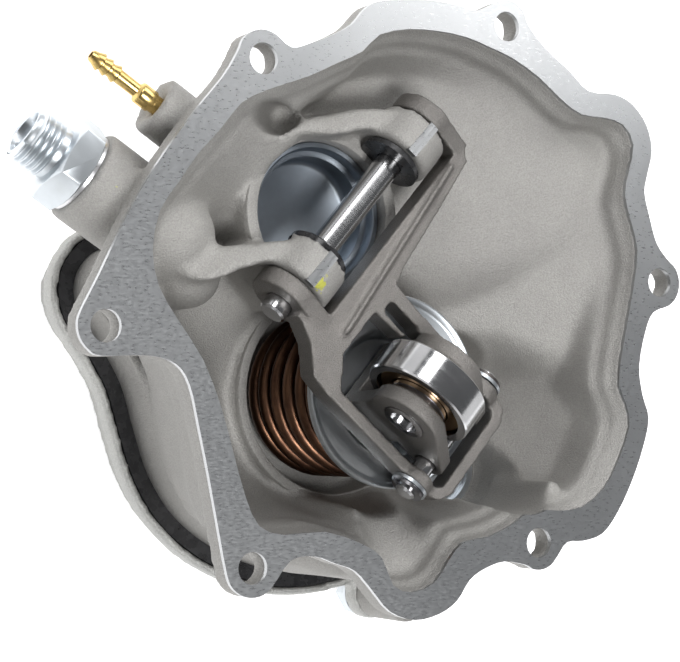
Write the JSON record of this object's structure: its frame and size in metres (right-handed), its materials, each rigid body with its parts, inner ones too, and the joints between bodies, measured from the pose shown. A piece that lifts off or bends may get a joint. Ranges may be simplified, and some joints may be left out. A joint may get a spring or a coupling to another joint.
{
  "type": "vacuum pump",
  "caption": "Piston vacuum pump with a scalloped cast flange, an open bowl, and a ball-bearing cam roller on a hinged rocker and sprung piston rod.",
  "frame": {"origin": "centre of the flat outer face of the round cover, on the piston axis", "axes": "+Z along the piston axis, from the cover to the mounting flange and the cam roller; +X towards the flange's far side, away from the vacuum union; +Y towards the upper bolt ears"},
  "size_m": [0.1681, 0.1486, 0.087],
  "materials": {
    "cast_aluminium": "die cast and blasted, sealing faces machined bright",
    "piston_aluminium": "turned",
    "zinc_steel": "bright zinc plated, slightly blue",
    "bearing_steel": "ground and polished",
    "rocker_steel": "precision cast, coarse sparkling grain",
    "spring_steel": "copper brown",
    "dark_zinc": "dark passivated",
    "brass": "turned",
    "bronze": "pressed, satin",
    "black_rubber": "moulded, glossy with oil",
    "valve_steel": "satin"
  },
  "bodies": {
    "pump_body": {"housing": "cast_aluminium", "cover": "cast_aluminium", "cover_seal": "black_rubber", "cover_screws": "zinc_steel", "core_plug": "dark_zinc", "shaft_bushes": "bronze", "shaft_seals": "black_rubber", "rod_bush": "bronze", "rod_seal": "black_rubber", "union_fitting": "zinc_steel", "union_washer": "piston_aluminium", "hose_nipple": "brass", "outlet_valve_cap": "zinc_steel", "outlet_snap_ring": "zinc_steel", "inlet_valve_seat": "piston_aluminium"},
    "piston_group": {"roller_fork": "rocker_steel", "piston_rod": "bearing_steel", "spring_retainer": "zinc_steel", "piston": "piston_aluminium", "piston_ring": "black_rubber", "piston_washer": "zinc_steel", "piston_nut": "zinc_steel", "roller_pin": "bearing_steel", "roller_spacers": "dark_zinc", "bearing_inner_ring": "bearing_steel", "return_spring": "spring_steel"},
    "rocker": {"rocker_lever": "rocker_steel", "pivot_shaft": "bearing_steel", "cross_pin": "bearing_steel", "cross_pin_washers": "zinc_steel", "cross_pin_clips": "dark_zinc"},
    "cam_roller": {"bearing_outer_ring": "bearing_steel"},
    "ball_cage": {"bearing_cage": "bronze", "bearing_balls": "bearing_steel"},
    "inlet_valve": {"inlet_valve_plate": "black_rubber", "inlet_valve_spring": "valve_steel"},
    "outlet_valve": {"outlet_valve_plate": "black_rubber", "outlet_valve_spring": "valve_steel"}
  },
  "joints": [
    {"name": "piston_stroke", "type": "slide", "parent": "pump_body", "child": "piston_group", "axis": [0, 0, -1], "range_m": [0, 0.0075], "stiffness_N_per_m": 6000, "springref_m": -0.008, "deforming": ["return_spring"]},
    {"name": "rocker_pivot", "type": "hinge", "parent": "pump_body", "child": "rocker", "pos_m": [-0.01435, 0.03898, 0.063], "axis": [0.6561, 0.7547, 0], "range_deg": [0, 8.5]},
    {"name": "roller_spin", "type": "hinge", "parent": "piston_group", "child": "cam_roller", "pos_m": [0, 0, 0.074], "axis": [0.6561, 0.7547, 0], "continuous": true},
    {"name": "cage_spin", "type": "hinge", "parent": "piston_group", "child": "ball_cage", "pos_m": [0, 0, 0.074], "axis": [0.6561, 0.7547, 0], "continuous": true},
    {"name": "inlet_valve_lift", "type": "slide", "parent": "pump_body", "child": "inlet_valve", "axis": [0, 0, -1], "range_m": [0, 0.0012], "stiffness_N_per_m": 60, "springref_m": -0.002, "deforming": ["inlet_valve_spring"]},
    {"name": "outlet_valve_lift", "type": "slide", "parent": "pump_body", "child": "outlet_valve", "axis": [0, 0, 1], "range_m": [0, 0.0012], "stiffness_N_per_m": 60, "springref_m": -0.002, "deforming": ["outlet_valve_spring"]}
  ],
  "couplings": [
    {"joint": "rocker_pivot", "follows": "piston_stroke", "rad_per_m": 19.763},
    {"joint": "cage_spin", "follows": "roller_spin", "ratio": 0.6306}
  ]
}
